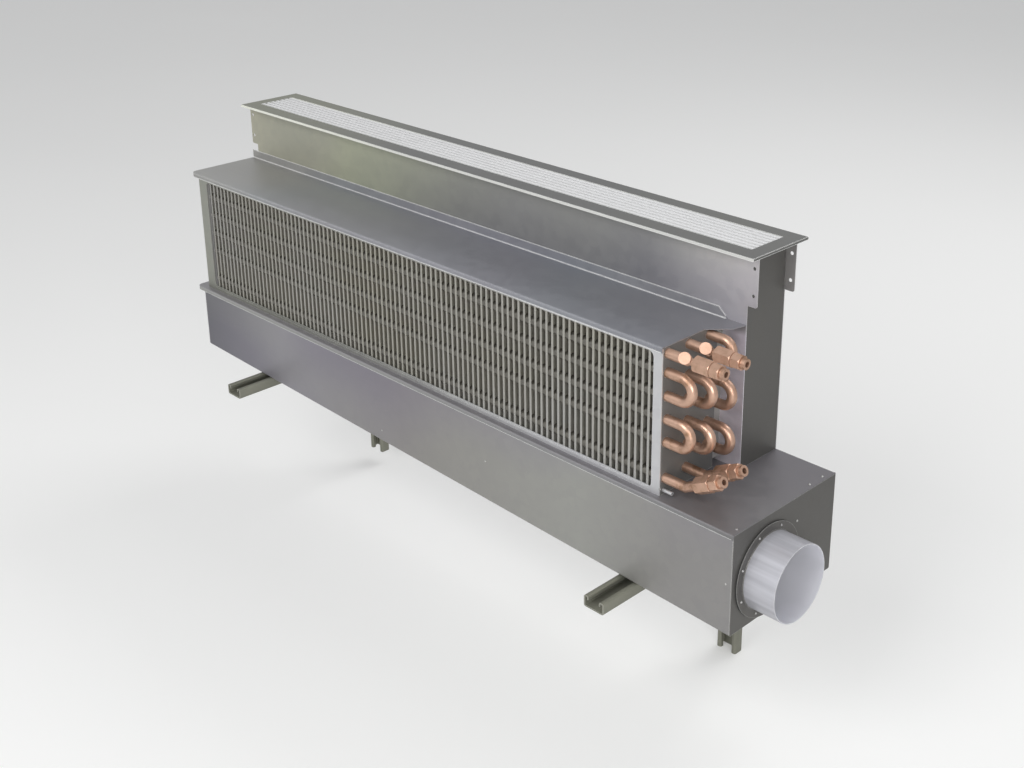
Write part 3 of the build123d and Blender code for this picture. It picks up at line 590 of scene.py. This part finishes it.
def flange_rivets():
    """Blind rivets round the duct's flange."""
    low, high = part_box("inlet_spigot")
    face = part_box("spigot_gasket")[1].x + sheet
    ring = (high.y - low.y) / 2 - flange_rivet_in
    y, z = (low.y + high.y) / 2, (low.z + high.z) / 2
    turns = [tau * (k + 0.5) / flange_rivet_count for k in range(flange_rivet_count)]
    places = [(face, y + ring * cos(t), z + ring * sin(t)) for t in turns]
    heads("flange_rivets", places, to_inlet, rivet_radius, rivet_height, True)


def sheet_fasteners():
    """Screws of the plenum's top panel, its end cap and the casing; rivets of the plenum's front.

    The casing's and the plenum's front ones are given by their distance from the inlet end and
    their height.
    """
    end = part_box("plenum_right_cap")[1].x
    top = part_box("plenum_top_panel")[1].z
    low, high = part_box("plenum_trough")
    places = [(end - top_screw_in, high.y - back, top) for back in top_screws_from_back]
    heads("top_screws", places, upwards, rivet_radius, rivet_height, False)
    places = [(end, low.y + end_screw_from_front, low.z + end_screw_height)]
    heads("end_screws", places, to_inlet, rivet_radius, rivet_height, False)
    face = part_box("coil_face_frame")[0].y
    places = [(end - x, face, z) for x, z in casing_screws_from_end]
    heads("casing_screws", places, to_front, rivet_radius, rivet_height, False)
    places = [(end - x, low.y, z) for x, z in front_rivets_from_end]
    heads("front_rivets", places, to_front, spot_radius, rivet_height / 2, True)


flange_rivets()
sheet_fasteners()


# Camera, light and floor


def camera():
    """Camera by its place, its turn about the vertical and its tilt below the horizon."""
    lens = bpy.data.cameras.new("camera")
    lens.sensor_width = sensor_width
    lens.lens = camera_focal * sensor_width
    lens.shift_x, lens.shift_y = camera_shift
    made = bpy.data.objects.new("camera", lens)
    made.location = camera_place
    made.rotation_euler = (radians(90 - camera_pitch), 0, radians(camera_yaw))
    bpy.context.scene.collection.objects.link(made)
    bpy.context.scene.camera = made


def lamp(name, place, target, size, power):
    """Soft square light aimed at a point."""
    light = bpy.data.lights.new(name, "AREA")
    light.size = size
    light.energy = power
    made = bpy.data.objects.new(name, light)
    made.location = place
    aim = Vector(target) - Vector(place)
    made.rotation_euler = aim.to_track_quat("-Z", "Y").to_euler()
    bpy.context.scene.collection.objects.link(made)


def studio():
    """Floor under the posts; a sky that is pale to the camera and in reflections, dim as light."""
    bpy.ops.mesh.primitive_plane_add(size=floor_size, location=(0, 0, cad_box[0].z))
    floor = bpy.context.object
    floor.name = "floor"
    floor.data.materials.append(floor_paint())
    world = bpy.data.worlds.new("studio")
    bpy.context.scene.world = world
    world.use_nodes = True
    tree = world.node_tree
    background = tree.nodes["Background"]
    ray = tree.nodes.new("ShaderNodeLightPath")
    reflected = calc(tree, "MULTIPLY", ray.outputs["Is Glossy Ray"], sky_mirrored)
    seen = calc(tree, "MAXIMUM", ray.outputs["Is Camera Ray"], reflected)
    strength = span(tree, seen, low=0, high=1, to_low=sky_light, to_high=sky_white)
    background.inputs["Color"].default_value = sky_tint
    tree.links.new(strength, background.inputs["Strength"])


camera()
studio()
for name, (place, target, size, power) in lamps.items():
    lamp(name, place, target, size, power)

bpy.context.scene.view_settings.view_transform = "Standard"
